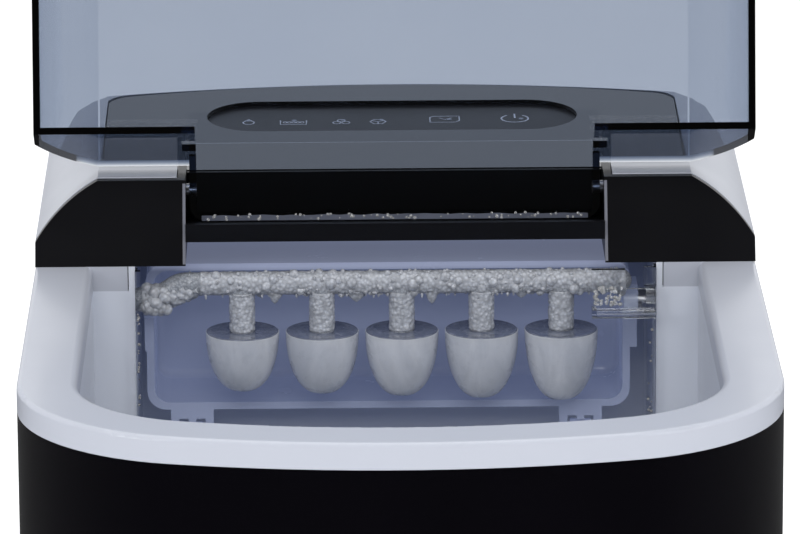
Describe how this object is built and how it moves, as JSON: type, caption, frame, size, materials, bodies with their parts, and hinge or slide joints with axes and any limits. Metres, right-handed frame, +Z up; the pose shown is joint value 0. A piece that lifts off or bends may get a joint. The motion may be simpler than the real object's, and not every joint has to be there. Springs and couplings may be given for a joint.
{
  "type": "ice maker",
  "caption": "Countertop bullet-ice maker with a smoke-tinted lid, white bezel and hump, and an open view of its evaporator, tipping water tray and fresh ice.",
  "frame": {"origin": "bottom centre of the machine, on the surface it stands on", "axes": "+Z up, -Y towards the front, +X to the right seen from the front"},
  "size_m": [0.2266, 0.33, 0.516],
  "materials": {
    "casing_black": "high gloss black",
    "base_black": "textured black",
    "white_trim": "satin white",
    "cap_black": "satin black",
    "fascia_black": "gloss black",
    "panel_grey": "smoked grey",
    "lens_clear": "clear lens",
    "lid_smoke": "smoke blue transparent",
    "liner_white": "satin white",
    "clear_plastic": "clear",
    "tray_translucent": "translucent blue grey",
    "evaporator_metal": "nickel plated, frosted",
    "ice": "milky ice",
    "rubber_black": "matte",
    "foam": "closed cell foam",
    "steel": "zinc plated",
    "motor_white": "moulded",
    "pump_black": "moulded",
    "hose_clear": "silicone",
    "compressor_black": "semi-gloss black",
    "aluminium": "bare",
    "fan_grey": "moulded",
    "copper": "bare copper",
    "board_green": "circuit board"
  },
  "bodies": {
    "machine": {"feet": "rubber_black", "base_pan": "base_black", "outer_casing": "casing_black", "rear_panel": "base_black", "cord_gland": "rubber_black", "drain_spigot": "base_black", "top_bezel": "white_trim", "rear_housing": "white_trim", "end_cap_left": "cap_black", "end_cap_right": "cap_black", "hinge_trough": "cap_black", "control_fascia": "fascia_black", "display_panel": "panel_grey", "indicator_lenses": "lens_clear", "well_liner": "liner_white", "ice_full_sensors": "lens_clear", "splash_guard_left": "clear_plastic", "splash_guard_right": "clear_plastic", "foam_insulation": "foam", "evaporator_tube": "evaporator_metal", "evaporator_fingers": "evaporator_metal", "ice_bullets": "ice", "water_spout": "clear_plastic", "water_pump": "pump_black", "supply_hose": "hose_clear", "drain_hose": "hose_clear", "gear_motor": "motor_white", "compressor": "compressor_black", "compressor_mounts": "rubber_black", "condenser": "aluminium", "fan_shroud": "fan_grey", "fan_motor": "steel", "refrigerant_pipes": "copper", "drier": "copper", "hot_gas_valve": "aluminium", "power_board": "board_green", "control_board": "board_green", "screws": "steel"},
    "lid": {"lid": "lid_smoke", "hinge_pins": "steel"},
    "tray": {"water_tray": "tray_translucent", "tray_pivot_pin": "steel", "drive_shaft": "steel"},
    "pusher": {"ice_pusher": "tray_translucent"},
    "basket": {"ice_basket": "tray_translucent"},
    "fan": {"fan": "fan_grey"},
    "drain_cap": {"drain_cap": "base_black", "drain_seal": "rubber_black"}
  },
  "joints": [
    {"name": "lid_hinge", "type": "hinge", "parent": "machine", "child": "lid", "pos_m": [0, 0.0473, 0.304], "axis": [1, 0, 0], "range_deg": [0, 101]},
    {"name": "tray_pivot", "type": "hinge", "parent": "machine", "child": "tray", "pos_m": [0, 0.046, 0.2675], "axis": [1, 0, 0], "range_deg": [-90, 0]},
    {"name": "pusher_swing", "type": "hinge", "parent": "tray", "child": "pusher", "pos_m": [0, 0.0499, 0.2246], "axis": [1, 0, 0], "range_deg": [0, 90]},
    {"name": "basket_lift", "type": "slide", "parent": "machine", "child": "basket", "axis": [0, 0, -1], "range_m": [-0.12, 0]},
    {"name": "fan_spin", "type": "hinge", "parent": "machine", "child": "fan", "pos_m": [-0.053, 0.1405, 0.098], "axis": [0, 1, 0], "continuous": true},
    {"name": "drain_cap_pull", "type": "slide", "parent": "machine", "child": "drain_cap", "axis": [0, 1, 0], "range_m": [0, 0.02]}
  ],
  "couplings": [
    {"joint": "pusher_swing", "follows": "tray_pivot", "ratio": -1}
  ]
}
